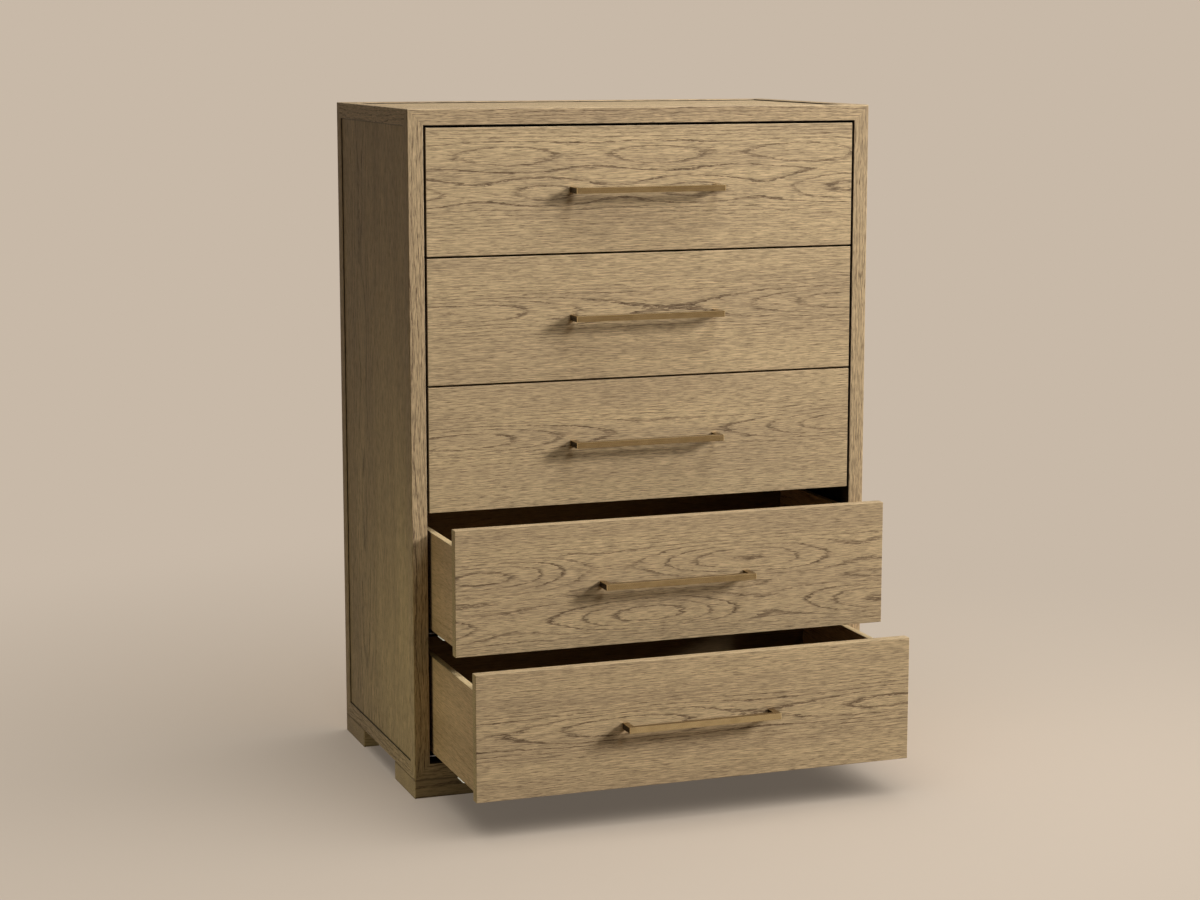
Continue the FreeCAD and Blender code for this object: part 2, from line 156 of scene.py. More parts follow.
def growth_rings():
    """Figure of a sawn board. X runs along the grain, Y across the face, Z out of the face.

    The rings are round the heart of the tree, which wanders as it passes behind the face, so that a
    flat-sawn face shows nested arches and a face further out shows straight lines. The trunk swells
    and narrows once in each Swell Length; arches meet at its Neck. A board glued up from two has a
    heart on either side of its middle, about Twin away from it, and the lower neck is shifted.
    """
    group, given, out = new_group("growth_rings", {
        "Board": "Vector", "Heart Across": "Float", "Heart Depth": "Float", "Twin": "Float",
        "Ring Width": "Float", "Wander": "Float", "Seed": "Float", "Swell": "Float",
        "Swell Length": "Float", "Neck": "Float", "Lower Shift": "Float",
    }, {"Rings": "Float", "Pores": "Float", "Fibres": "Float", "Clouds": "Float", "Height": "Float"})

    shift = add(group, "ShaderNodeVectorMath", {0: SEED_STEP, "Scale": given["Seed"]},
                operation="SCALE")
    moved = add(group, "ShaderNodeVectorMath", {0: given["Board"], 1: shift.outputs[0]},
                operation="ADD").outputs[0]
    place = add(group, "ShaderNodeSeparateXYZ", {0: given["Board"]}).outputs

    # The heart wanders, and a board glued up from two has one on either side of its middle.
    drift = noise(group, moved, DRIFT_RATE, 1.0, 0.5).outputs["Color"]
    drift = add(group, "ShaderNodeSeparateColor", {0: drift}).outputs
    across = maths(group, "SUBTRACT", place[1], given["Heart Across"])
    sideways = maths(group, "MULTIPLY", maths(group, "SUBTRACT", drift[0], 0.5), given["Wander"])
    across = maths(group, "ADD", across, sideways)
    soft = maths(group, "MULTIPLY", given["Twin"], TWIN_BLEND)
    apart = maths(group, "SQRT", maths(group, "ADD", maths(group, "MULTIPLY", across, across),
                                      maths(group, "MULTIPLY", soft, soft)))
    above = maths(group, "MULTIPLY", maths(group, "DIVIDE", across, apart), 0.5)
    lower = maths(group, "SUBTRACT", 0.5, above)
    across = maths(group, "SUBTRACT", apart, given["Twin"])

    # The trunk swells and narrows along its length.
    along = maths(group, "SUBTRACT", place[0], given["Neck"])
    along = maths(group, "SUBTRACT", along, maths(group, "MULTIPLY", given["Lower Shift"], lower))
    turn = maths(group, "DIVIDE", maths(group, "MULTIPLY", along, math.tau), given["Swell Length"])
    depth = maths(group, "ADD", place[2], given["Heart Depth"])
    inward = maths(group, "MULTIPLY", maths(group, "SUBTRACT", drift[1], 0.5), given["Wander"])
    depth = maths(group, "ADD", depth, inward)
    reach = ramp(group, maths(group, "ABSOLUTE", across), *SWELL_REACH, 1.0, SWELL_LEFT)
    swell = maths(group, "MULTIPLY", maths(group, "COSINE", turn), given["Swell"])
    depth = maths(group, "ADD", depth, maths(group, "MULTIPLY", swell, reach))
    radius = maths(group, "SQRT", maths(group, "ADD", maths(group, "MULTIPLY", across, across),
                                       maths(group, "MULTIPLY", depth, depth)))

    # A dark line of pores opens each year and fades outward.
    ripple = noise(group, moved, RIPPLE_RATE, 2.0, 0.5).outputs[0]
    feather = noise(group, moved, FEATHER_RATE, 3.0, 0.65).outputs[0]
    count = maths(group, "DIVIDE", radius, given["Ring Width"])
    count = maths(group, "ADD", count, maths(group, "MULTIPLY", ripple, RIPPLE_SHIFT))
    count = maths(group, "ADD", count, maths(group, "MULTIPLY", feather, FEATHER_SHIFT))
    phase = maths(group, "FRACT", count)
    year = maths(group, "FLOOR", maths(group, "ADD", count, NEXT_YEAR))
    growth = add(group, "ShaderNodeTexWhiteNoise", {"W": maths(group, "ADD", year, given["Seed"])},
                 noise_dimensions="1D").outputs[0]
    onset = ramp(group, phase, LINE_START, 1.0)
    fade = ramp(group, phase, 0.0, LINE_END, 1.0, 0.0)
    line = maths(group, "MAXIMUM", onset, fade)
    line = maths(group, "MULTIPLY", line, ramp(group, growth, 0.0, 1.0, POOR_YEAR, 1.0))
    steep = maths(group, "DIVIDE", maths(group, "ABSOLUTE", across), radius)
    line = maths(group, "MULTIPLY", line, ramp(group, steep, *STEEP_RANGE, 1.0, STEEP_LINE))
    breaks = noise(group, moved, BREAK_RATE, 2.0, 0.6).outputs[0]
    line = maths(group, "MULTIPLY", line, ramp(group, breaks, *BREAK_RANGE, BROKEN_LINE, 1.0))

    # Between the lines the wood has its open pores, fibres and clouds of colour.
    dashes = noise(group, moved, PORE_RATE, 2.0, 0.6).outputs[0]
    dashes = maths(group, "ADD", dashes, maths(group, "MULTIPLY", line, PORE_CROWDING))
    pores = ramp(group, dashes, *PORE_RANGE)
    fibres = noise(group, moved, FIBRE_RATE, 2.0, 0.65).outputs[0]
    clouds = noise(group, moved, CLOUD_RATE, 2.0, 0.55).outputs[0]
    height = maths(group, "SUBTRACT", maths(group, "MULTIPLY", fibres, FIBRE_HEIGHT), pores)
    height = maths(group, "SUBTRACT", height, maths(group, "MULTIPLY", line, LINE_DEPTH))

    for label, value in (("Rings", line), ("Pores", pores), ("Fibres", fibres), ("Clouds", clouds),
                         ("Height", height)):
        group.links.new(value, out[label])
    return group


# How squarely the surface faces one axis where an edge is fully worn, and where the wear ends.
WORN_FACING = (0.90, 0.995)


def eased_edges():
    """Where a rounded arris or a bevel turns away from the flat faces beside it."""
    group, given, out = new_group("eased_edges", {"Normal": "Vector"}, {"Edge": "Float"})
    parts = add(group, "ShaderNodeSeparateXYZ", {0: given["Normal"]}).outputs
    size = [maths(group, "ABSOLUTE", part) for part in parts]
    largest = maths(group, "MAXIMUM", maths(group, "MAXIMUM", size[0], size[1]), size[2])
    group.links.new(ramp(group, largest, *WORN_FACING, 1.0, 0.0), out["Edge"])
    return group


def joint_and_shade_line():
    """A dark line round a board's rim, where it enters its neighbours: partly joint, partly painted shade.
    """
    group, given, out = new_group("joint_and_shade_line", {
        "Board": "Vector", "Half Length": "Float", "Half Width": "Float", "Width": "Float",
    }, {"Line": "Float"})
    place = add(group, "ShaderNodeSeparateXYZ", {0: given["Board"]}).outputs
    along = maths(group, "SUBTRACT", given["Half Length"], maths(group, "ABSOLUTE", place[0]))
    across = maths(group, "SUBTRACT", given["Half Width"], maths(group, "ABSOLUTE", place[1]))
    nearest = maths(group, "DIVIDE", maths(group, "MINIMUM", along, across), given["Width"])
    group.links.new(ramp(group, nearest, 0.6, 1.3, 1.0, 0.0), out["Line"])
    return group


rings = growth_rings()
edges = eased_edges()
joint_and_shade_lines = joint_and_shade_line()
AXES = {"X": Vector((1, 0, 0)), "Y": Vector((0, 1, 0)), "Z": Vector((0, 0, 1))}


def board_place(tree, grain, face, centre):
    """Object coordinates turned so that X runs along the grain and Z out of the board's face."""
    along = AXES[grain]
    out = AXES[face[-1]] * (-1 if face[0] == "-" else 1)
    turn = Matrix((along, out.cross(along), out))
    return add(tree, "ShaderNodeMapping", {
        "Vector": add(tree, "ShaderNodeTexCoord").outputs["Object"],
        "Location": -(turn @ centre),
        "Rotation": turn.to_euler(),
    }).outputs[0]


def new_material(name):
    """A material with only its shader and output."""
    material = bpy.data.materials.new(name)
    material.use_nodes = True
    tree = material.node_tree
    return material, tree, tree.nodes["Principled BSDF"]


def edge_mask(tree):
    """Where the piece's arrises are, from the way its surface faces."""
    normal = add(tree, "ShaderNodeTexCoord").outputs["Normal"]
    return add(tree, "ShaderNodeGroup", {"Normal": normal}, node_tree=edges).outputs["Edge"]


# Each wood's colours are those of its ground, its shade, its rings and its pores.
WEATHERED_OAK = (srgb(200, 174, 134), srgb(186, 161, 125), srgb(98, 77, 56), srgb(106, 85, 62))
FRAME_OAK = (srgb(193, 167, 129), srgb(177, 152, 118), srgb(112, 90, 68), srgb(106, 86, 63))
# A dark wood, painted shade for the faces inside the case.
INSIDE_SHADE_OAK = (srgb(46, 38, 29), srgb(40, 33, 25), srgb(28, 23, 17), srgb(24, 20, 15))
WORN_OAK = srgb(222, 198, 160)
CLOUD_RANGE = (0.3, 0.7)
FIBRE_RANGE = (0.25, 0.75)
JOINT_AND_SHADE_WIDTH = 0.0022
JOINT_AND_SHADE_SHARE = 0.4
JOINT_AND_SHADE_COLOUR = srgb(52, 40, 26)
PORE_RELIEF = 0.00012
OIL_SHEEN = 0.2
OIL_ROUGHNESS = (0.55, 0.7)


def timber(name, grain, face, centre, colours, heart, ring, wander, seed, twin=0.0, swell=0.0,
           swell_length=1.0, neck=0.0, lower_shift=0.0, strength=(1.0, 0.5, 0.42), edge_share=0.3,
           rim=None):
    """Wood with its figure. Heart is where the tree's middle lies, and ring a year's growth.

    Strength is how strongly rings, pores and fibres show. A rim is the board's half length and half
    width, where it has a dark line round it, partly a joint and partly painted shade.
    """
    material, tree, shader = new_material(name)
    ground, shade, ring_colour, pore_colour = colours
    ring_share, pore_share, fibre_share = strength
    place = board_place(tree, grain, face, centre)
    found = add(tree, "ShaderNodeGroup", {
        "Board": place, "Heart Across": heart[0], "Heart Depth": heart[1], "Twin": twin,
        "Ring Width": ring, "Wander": wander, "Seed": seed, "Swell": swell,
        "Swell Length": swell_length, "Neck": neck, "Lower Shift": lower_shift,
    }, node_tree=rings).outputs
    colour = blend(tree, ramp(tree, found["Clouds"], *CLOUD_RANGE), ground, shade)
    colour = blend(tree, maths(tree, "MULTIPLY", found["Rings"], ring_share), colour, ring_colour)
    colour = blend(tree, maths(tree, "MULTIPLY", found["Pores"], pore_share), colour, pore_colour)
    fibre = ramp(tree, found["Fibres"], *FIBRE_RANGE, 1 - fibre_share / 2, 1 + fibre_share / 2)
    tint = add(tree, "ShaderNodeCombineColor", {0: fibre, 1: fibre, 2: fibre}).outputs[0]
    colour = blend(tree, 1.0, colour, tint, "MULTIPLY")
    colour = blend(tree, maths(tree, "MULTIPLY", edge_mask(tree), edge_share), colour, WORN_OAK)
    if rim:
        line = add(tree, "ShaderNodeGroup", {"Board": place, "Half Length": rim[0], "Half Width": rim[1],
                                             "Width": JOINT_AND_SHADE_WIDTH}, node_tree=joint_and_shade_lines).outputs["Line"]
        # The rim's dark line is partly a joint, partly painted shade.
        colour = blend(tree, maths(tree, "MULTIPLY", line, JOINT_AND_SHADE_SHARE), colour, JOINT_AND_SHADE_COLOUR)
    tree.links.new(colour, shader.inputs["Base Color"])
    tree.links.new(ramp(tree, found["Pores"], 0.0, 1.0, *OIL_ROUGHNESS), shader.inputs["Roughness"])
    bump = add(tree, "ShaderNodeBump", {"Height": found["Height"], "Distance": PORE_RELIEF,
                                        "Strength": 1.0})
    tree.links.new(bump.outputs[0], shader.inputs["Normal"])
    shader.inputs["Specular IOR Level"].default_value = OIL_SHEEN
    return material


def dress(node, material):
    """Give a carried CAD node its material."""
    nodes[node].data.materials.clear()
    nodes[node].data.materials.append(material)


def middle(node):
    """The centre of a CAD node's box."""
    low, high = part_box(node)
    return (low + high) / 2


CASE_MIDDLE = (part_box("top_panel")[0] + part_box("bottom_panel")[1]) / 2
FACING_IN = 0.02
# Painted shade: faces that look into the case and into the gaps round the drawers get a dark wood.
inside_shade = timber("inside_shade", "Z", "-Y", CASE_MIDDLE, INSIDE_SHADE_OAK, heart=(0.1, 0.1), ring=0.004,
                    wander=0.03, seed=9, edge_share=0.0)


def paint_shade_inside(node):
    """Give the faces of a node that look into the case the dark wood, as painted shade."""
    data = nodes[node].data
    data.materials.append(inside_shade)
    for polygon in data.polygons:
        if polygon.normal.dot(CASE_MIDDLE - polygon.center) > FACING_IN:
            polygon.material_index = 1


MEMBER_GRAIN = {"post": "Z", "front_rail": "X", "rear_rail": "X", "left_rail": "Y", "right_rail": "Y"}
MEMBER_FACE = {"front": "-Y", "rear": "Y", "left": "-X", "right": "X"}

# Each member is sawn from its own place in the log, round this one and no further off than this.
MEMBER_HEART = (0.032, 0.056)
HEART_SPREAD = (0.008, 0.010)
HEART_STEP = (2.3, 1.7)
members = [name for name in nodes if name.endswith(("_post", "_rail"))]
for seed, name in enumerate(sorted(members), start=1):
    kind = next(ending for ending in MEMBER_GRAIN if name.endswith(ending))
    side = name.split("_")[0] if kind == "post" else name.split("_")[1]
    heart = (MEMBER_HEART[0] + HEART_SPREAD[0] * math.sin(seed * HEART_STEP[0]),
             MEMBER_HEART[1] + HEART_SPREAD[1] * math.cos(seed * HEART_STEP[1]))
    dress(name, timber(f"oak_{name}", MEMBER_GRAIN[kind], MEMBER_FACE[side], middle(name), FRAME_OAK,
                       heart=heart, ring=0.0034, wander=0.016, seed=seed, strength=(1.0, 0.9, 0.8),
                       edge_share=0.15))
    paint_shade_inside(name)

# Panels
# Veneered oak boards on the top, the sides and the bottom, set just inside the frame's faces and
# glued in its rebates. The fine dark line round each is partly the joint, partly painted shade.
PANEL_OAK = (srgb(197, 171, 130), srgb(175, 150, 113), srgb(100, 81, 58), srgb(100, 82, 58))

# Each panel's grain, outer face, heart, ring width and colours.
PANELS = {
    "top_panel": ("X", "Z", (0.03, 0.07), 0.0042, WEATHERED_OAK),
    "left_side_panel": ("Z", "-X", (0.10, 0.16), 0.0050, PANEL_OAK),
    "right_side_panel": ("Z", "X", (-0.10, 0.16), 0.0050, PANEL_OAK),
    "bottom_panel": ("X", "-Z", (0.02, 0.07), 0.0042, PANEL_OAK),
}


def half_sizes(node, grain, face):
    """Half the length of a board along its grain, and half its width across it."""
    low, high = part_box(node)
    size = (high - low) / 2
    across = ({"X", "Y", "Z"} - {grain, face[-1]}).pop()
    return size["XYZ".index(grain)], size["XYZ".index(across)]


for seed, (name, (grain, face, heart, ring, colours)) in enumerate(PANELS.items(), start=31):
    dress(name, timber(f"oak_{name}", grain, face, middle(name), colours, heart=heart, ring=ring,
                       wander=0.03, seed=seed, strength=(1.0, 0.9, 0.9),
                       rim=half_sizes(name, grain, face)))
    paint_shade_inside(name)

# Feet
# Four L-shaped oak blocks under the corners, flush with the frame. They are glued and screwed up
# into the bottom rails, with a fine seam between; a dark line along their top and bottom edges is
# partly that seam, partly painted shade.

# The dark line runs along the feet and not across their ends, so it is told that those are this far off.
PAST_ENDS = 1.0
joint_and_shade_half_width = half_sizes("feet", "X", "-Y")[1]
dress("feet", timber("oak_feet", "X", "-Y", middle("feet"), FRAME_OAK, heart=(0.03, 0.06), ring=0.003,
                     wander=0.02, seed=41, rim=(PAST_ENDS, joint_and_shade_half_width)))

# Back
# A thin board of plywood, veneered with oak from two leaves that lie side by side.
# It is let into the rear frame and screwed there.
# The dark line round its rim is partly the joint, partly painted shade.
dress("back_panel", timber("back_board", "Z", "Y", middle("back_panel"), FRAME_OAK, heart=(0.0, 0.1),
                           ring=0.004, wander=0.05, seed=45, twin=0.22,
                           rim=half_sizes("back_panel", "Z", "Y")))

# Drawer fronts
# Five boards faced with flat-sawn oak. The first and the fourth are glued up from two, so that one
# row of arches runs above the middle and another below it.
DRAWERS = range(1, 6)

# Each front's own place in the log, measured in metres from the middle of its face.
FRONT_FIGURE = {
    1: {"heart": (0.030, 0.0642), "twin": 0.037, "wander": 0.012, "seed": 52, "swell": 0.0018,
        "swell_length": 0.310, "neck": -0.135, "lower_shift": 0.09},
    2: {"heart": (0.014, 0.060), "wander": 0.008, "seed": 53, "swell": 0.0065,
        "swell_length": 0.900, "neck": 0.060},
    3: {"heart": (0.014, 0.058), "wander": 0.010, "seed": 54, "swell": 0.0060,
        "swell_length": 0.850, "neck": 0.050},
    4: {"heart": (-0.020, 0.055), "twin": 0.050, "wander": 0.016, "seed": 55, "swell": 0.0060,
        "swell_length": 0.530, "neck": -0.135, "lower_shift": 0.335},
    5: {"heart": (0.000, 0.0630), "wander": 0.008, "seed": 56, "swell": 0.0030,
        "swell_length": 0.560, "neck": 0.125},
}
for number in DRAWERS:
    name = f"drawer_{number}_front"
    low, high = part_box(name)
    face_middle = Vector(((low.x + high.x) / 2, low.y, (low.z + high.z) / 2))
    dress(name, timber(f"oak_{name}", "X", "-Y", face_middle, WEATHERED_OAK, ring=0.0040,
                       strength=(1.0, 0.7, 0.7), edge_share=0.1, **FRONT_FIGURE[number]))

# Drawer boxes
# Two sides of pale sealed oak and a back, glued into the front. The back is browner, as painted
# shade, and the top edges are paler, partly sanded and partly painted light.
# The bottom is thin plywood, slid into grooves.
BOX_WOOD = (srgb(208, 175, 140), srgb(192, 161, 127), srgb(140, 112, 82), srgb(130, 104, 78))
# A darker wood for drawer backs, bottoms and cleats: painted shade for the insides of drawers and case.
INNER_SHADE_WOOD = (srgb(128, 106, 74), srgb(116, 95, 66), srgb(96, 76, 50), srgb(90, 70, 46))
EDGE_WOOD = (srgb(222, 196, 150), srgb(208, 182, 136), srgb(150, 122, 84), srgb(160, 130, 92))
FACING_UP = 0.7
BOX_BOARDS = {
    "left_side": ("Y", "-X", BOX_WOOD),
    "right_side": ("Y", "X", BOX_WOOD),
    "back": ("X", "-Y", INNER_SHADE_WOOD),
}
# Faces that look up get a paler wood: partly a sanded edge, partly painted light from above.
pale_and_lit_top = timber("pale_and_lit_top", "Y", "Z", CASE_MIDDLE, EDGE_WOOD, heart=(0.2, 0.1), ring=0.0035,
                   wander=0.01, seed=59, strength=(0.6, 0.2, 0.2), edge_share=0.0)
for number in DRAWERS:
    for board, (grain, face, colours) in BOX_BOARDS.items():
        name = f"drawer_{number}_{board}"
        dress(name, timber(f"box_{name}", grain, face, middle(name), colours, heart=(0.1, 0.12),
                           ring=0.006, wander=0.05, seed=60 + number * 3, strength=(0.4, 0.4, 0.5),
                           edge_share=0.2))
        data = nodes[name].data
        data.materials.append(pale_and_lit_top)
        for polygon in data.polygons:
            if polygon.normal.z > FACING_UP:
                polygon.material_index = 1
    name = f"drawer_{number}_bottom"
    dress(name, timber(f"ply_{name}", "X", "Z", middle(name), INNER_SHADE_WOOD, heart=(0.05, 0.2), ring=0.02,
                       wander=0.1, seed=90 + number, strength=(0.4, 0.15, 0.15)))

# Runner cleats
# Ten strips of plain wood, which pack the side panels out to the plane of the posts.
# They are glued to the panels and take the runners' screws.
# The cleats take the darker wood as painted shade.
dress("runner_cleats", timber("cleat_wood", "Y", "X", middle("runner_cleats"), INNER_SHADE_WOOD,
                              heart=(0.1, 0.1), ring=0.004, wander=0.05, seed=99))

# Pulls
# Square brass bars bent back into two legs, brushed along their length and left to age.
# Each is held by two machine screws from inside the drawer.
PULL_SECTION = 0.012
PULL_CORNER = 0.002
PULL_EDGE = 0.0005
SHARP_TURN = math.radians(40)
EDGE_STEPS = 2


def extruded(mesh, face):
    """Extrude a face in place and give back the fresh corners, which are then moved."""
    fresh = bmesh.ops.extrude_face_region(mesh, geom=[face])["geom"]
    return [part for part in fresh if isinstance(part, bmesh.types.BMVert)]


def solid_between(mesh, outline, low, high, place):
    """Add a prism to a mesh. Its outline is a list of pairs; place puts a pair and a height in space."""
    end = mesh.faces.new([mesh.verts.new(place(u, v, low)) for u, v in outline])
    rise = Vector(place(0, 0, high)) - Vector(place(0, 0, low))
    bmesh.ops.translate(mesh, verts=extruded(mesh, end), vec=rise)


def rounded(corners, radii, steps=4):
    """The corners of an outline with each turned into an arc of its radius."""
    points = []
    for index, corner in enumerate(corners):
        radius = radii[index]
        here = Vector(corner)
        before = (Vector(corners[index - 1]) - here).normalized()
        after = (Vector(corners[(index + 1) % len(corners)]) - here).normalized()
        if radius == 0:
            points.append(here)
            continue
        half = before.angle(after) / 2
        centre = here + (before + after).normalized() * radius / math.sin(half)
        start = here + before * radius / math.tan(half) - centre
        end = here + after * radius / math.tan(half) - centre
        turn = start.angle_signed(end)
        for step in range(steps + 1):
            angle = -turn * step / steps
            cosine, sine = math.cos(angle), math.sin(angle)
            points.append(centre + Vector((start.x * cosine - start.y * sine,
                                           start.x * sine + start.y * cosine)))
    return points


def finished(mesh, name, material):
    """An object from a mesh, with its faces turned outward."""
    bmesh.ops.recalc_face_normals(mesh, faces=mesh.faces)
    data = bpy.data.meshes.new(name)
    mesh.to_mesh(data)
    mesh.free()
    data.materials.append(material)
    made = bpy.data.objects.new(name, data)
    bpy.context.scene.collection.objects.link(made)
    return made


def bevel_sharp(mesh, offset):
    """Round every edge of a mesh where two faces meet at more than a slight turn."""
    sharp = [edge for edge in mesh.edges if edge.calc_face_angle(0.0) > SHARP_TURN]
    bmesh.ops.bevel(mesh, geom=sharp, offset=offset, offset_type="OFFSET", segments=EDGE_STEPS,
                    profile=0.5, affect="EDGES", material=-1)


# A screw head's dome and its cross, as shares of the head's radius and height.
DOME = ((1.0, 0.45), (0.93, 0.75), (0.72, 1.0))
CROSS_ARM = 0.5
CROSS_SLOT = 0.13
CROSS_TAPER = (0.6, 0.6, 0.35)
SCREW_STEPS = 24
TOUCHING = 1e-6


def cross_head(radius, height, shank_radius, shank):
    """A screw with a domed head and a cross recess, standing on its shank along +Z."""
    mesh = bmesh.new()
    dome = [(radius * across, height * up) for across, up in DOME]
    profile = [(0.0, -shank), (shank_radius, -shank), (shank_radius, 0.0), (radius, 0.0), *dome]
    line = [mesh.verts.new((r, 0.0, z)) for r, z in profile]
    spine = [mesh.edges.new(pair) for pair in zip(line, line[1:])]
    bmesh.ops.spin(mesh, geom=line + spine, cent=(0, 0, 0), axis=(0, 0, 1), angle=math.tau,
                   steps=SCREW_STEPS, use_merge=True)
    bmesh.ops.remove_doubles(mesh, verts=mesh.verts, dist=TOUCHING)
    rim = [edge for edge in mesh.edges if edge.is_boundary]
    arm, slot = radius * CROSS_ARM, radius * CROSS_SLOT
    corners = [Matrix.Rotation(turn * math.pi / 2, 2) @ Vector(pair) for turn in range(4)
               for pair in ((arm, -slot), (arm, slot), (slot, slot))]
    recess = mesh.faces.new([mesh.verts.new((*corner, height)) for corner in corners])
    cross = list(recess.edges)
    bmesh.ops.scale(mesh, verts=extruded(mesh, recess), vec=CROSS_TAPER)
    bmesh.ops.delete(mesh, geom=[recess], context="FACES_ONLY")
    bmesh.ops.triangle_fill(mesh, use_beauty=True, use_dissolve=False, edges=rim + cross)
    bmesh.ops.recalc_face_normals(mesh, faces=mesh.faces)
    data = bpy.data.meshes.new("screw")
    mesh.to_mesh(data)
    mesh.free()
    return data


def place_copy(mesh, pattern, spot, direction):
    """Add a copy of a pattern to a mesh, standing at a spot and pointing in a direction."""
    fresh = bmesh.new()
    fresh.from_mesh(pattern)
    turn = Vector(direction).to_track_quat("Z", "Y").to_matrix().to_4x4()
    fresh.transform(Matrix.Translation(spot) @ turn)
    copy = bpy.data.meshes.new("copy")
    fresh.to_mesh(copy)
    fresh.free()
    mesh.from_mesh(copy)
    bpy.data.meshes.remove(copy)


BRASS = srgb(158, 137, 100)
AGED_BRASS = srgb(148, 127, 91)
BRIGHT_BRASS = srgb(226, 200, 150)
DARK_SIDE_COLOUR = srgb(48, 38, 24)
BRUSH_RATE = (9.0, 700.0, 700.0)
BRUSH_DEPTH = 0.00001
BRUSH_STRENGTH = 0.25
BRUSHED_ROUGHNESS = (0.25, 0.31)
AGE_RATE = (38.0, 60.0, 60.0)
AGED_RANGE = (0.35, 0.68)
EDGE_WEAR_AND_HIGHLIGHT = 0.8
WEAR_ROUGHNESS = 0.2
DARK_SIDE_SHARE = 0.85
brass, tree, shader = new_material("satin_brass")
spot = add(tree, "ShaderNodeTexCoord").outputs["Object"]
brushed = noise(tree, spot, BRUSH_RATE, 2.0, 0.6).outputs[0]
aged = noise(tree, spot, AGE_RATE, 3.0, 0.6).outputs[0]
colour = blend(tree, ramp(tree, aged, *AGED_RANGE), BRASS, AGED_BRASS)
normal = add(tree, "ShaderNodeTexCoord").outputs["Normal"]
facing = add(tree, "ShaderNodeSeparateXYZ", {0: normal}).outputs[0]
sideways = maths(tree, "ABSOLUTE", facing)
# Lighter arrises, most of all on the upright corners: partly worn brass, partly a painted highlight.
worn_and_highlit = maths(tree, "MULTIPLY", edge_mask(tree), ramp(tree, sideways, 0.05, 0.3, 0.25, 1.0))
colour = blend(tree, maths(tree, "MULTIPLY", worn_and_highlit, EDGE_WEAR_AND_HIGHLIGHT), colour, BRIGHT_BRASS)
# Painted shade and dark reflection: faces that look sideways, the legs' outer and inner faces, are
# darkened.
dark_side_faces = ramp(tree, sideways, 0.95, 0.999)
colour = blend(tree, maths(tree, "MULTIPLY", dark_side_faces, DARK_SIDE_SHARE), colour, DARK_SIDE_COLOUR)
tree.links.new(colour, shader.inputs["Base Color"])
shader.inputs["Metallic"].default_value = 1.0
roughness = maths(tree, "ADD", ramp(tree, brushed, 0.3, 0.7, *BRUSHED_ROUGHNESS),
                  maths(tree, "MULTIPLY", worn_and_highlit, WEAR_ROUGHNESS))
tree.links.new(roughness, shader.inputs["Roughness"])
bump = add(tree, "ShaderNodeBump", {"Height": brushed, "Distance": BRUSH_DEPTH,
                                    "Strength": BRUSH_STRENGTH})
tree.links.new(bump.outputs[0], shader.inputs["Normal"])

ZINC = srgb(182, 184, 188)
DULL_ZINC = srgb(150, 152, 154)
PLATING_RATE = (60.0, 60.0, 60.0)
ROLLING_RATE = (500.0, 12.0, 500.0)
ROLLED_ROUGHNESS = (0.28, 0.48)
steel, tree, shader = new_material("zinc_steel")
spot = add(tree, "ShaderNodeTexCoord").outputs["Object"]
plating = noise(tree, spot, PLATING_RATE, 3.0, 0.6).outputs[0]
rolled = noise(tree, spot, ROLLING_RATE, 2.0, 0.5).outputs[0]
colour = blend(tree, ramp(tree, plating, 0.35, 0.65), ZINC, DULL_ZINC)
tree.links.new(colour, shader.inputs["Base Color"])
shader.inputs["Metallic"].default_value = 1.0
tree.links.new(ramp(tree, rolled, 0.3, 0.7, *ROLLED_ROUGHNESS), shader.inputs["Roughness"])

pull_screw = cross_head(radius=0.004, height=0.0025, shank_radius=0.002, shank=0.012)
for number in DRAWERS:
    body = f"drawer_{number}"
    pull_low, pull_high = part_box(f"{body}_pull")
    front_low, front_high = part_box(f"{body}_front")
    half = pull_high.x
    face = front_low.y
    level = (pull_low.z + pull_high.z) / 2
    inner = half - PULL_SECTION
    back = pull_low.y + PULL_SECTION
    outline = rounded([(-half, face), (-half, pull_low.y), (half, pull_low.y), (half, face),
                       (inner, face), (inner, back), (-inner, back), (-inner, face)],
                      [0, PULL_CORNER, PULL_CORNER, 0, 0, 0, 0, 0])
    mesh = bmesh.new()
    solid_between(mesh, outline, level - PULL_SECTION / 2, level + PULL_SECTION / 2,
                  lambda u, v, w: (u, v, w))
    bmesh.ops.recalc_face_normals(mesh, faces=mesh.faces)
    bevel_sharp(mesh, PULL_EDGE)
    bar = finished(mesh, f"{body}_pull_bar", brass)
    mesh = bmesh.new()
    for side in (-1, 1):
        leg = side * (half - PULL_SECTION / 2)
        place_copy(mesh, pull_screw, Vector((leg, front_high.y, level)), (0, 1, 0))
    screws = finished(mesh, f"{body}_pull_screws", steel)
    for piece, slot in ((bar, "satin_brass"), (screws, "zinc_steel")):
        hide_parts(f"{body}_pull")
        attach(piece, body)

# Runners
# Undermount slides in three parts, bent from zinc-plated sheet: one screwed to the case, a middle
# one that runs on its rail, and one under the drawer box, which white plastic clips lock in place.

# A section is measured from the wall of the case, and up from the lower edge of the drawer's box.
SHEET = 0.0015
BEND = 0.0008
RUNNING_GAP = 0.0003
RAIL = (0.033, 0.053)
WEB = -0.0105
FLANGE_TOP = 0.016
LIP = 0.0585
LIP_TOP = -0.002
SKIRT = -0.006
TOP = 0.013
WRAP = RUNNING_GAP + SHEET
CUT_END = SHEET * 1.1
BEND_STEPS = 3
SCREW_RISE = 0.009
SCREW_SHARES = (0.06, 0.34, 0.64, 0.94)
CLIP_START = 0.097
CLIP_LENGTH = 0.040
CLIP_HEIGHT = 0.005
CLIP_CORNER = 0.003
CLIP_MARGIN = 0.003
CLIP_EDGE = 0.0003
PLATE_TOP = 0.0034
PAD_START = 0.012
PAD_MARGIN = 0.004
PAD_CORNER = 0.002
RIB_HEIGHT = 0.0008
RIB_WIDTH = 0.0012
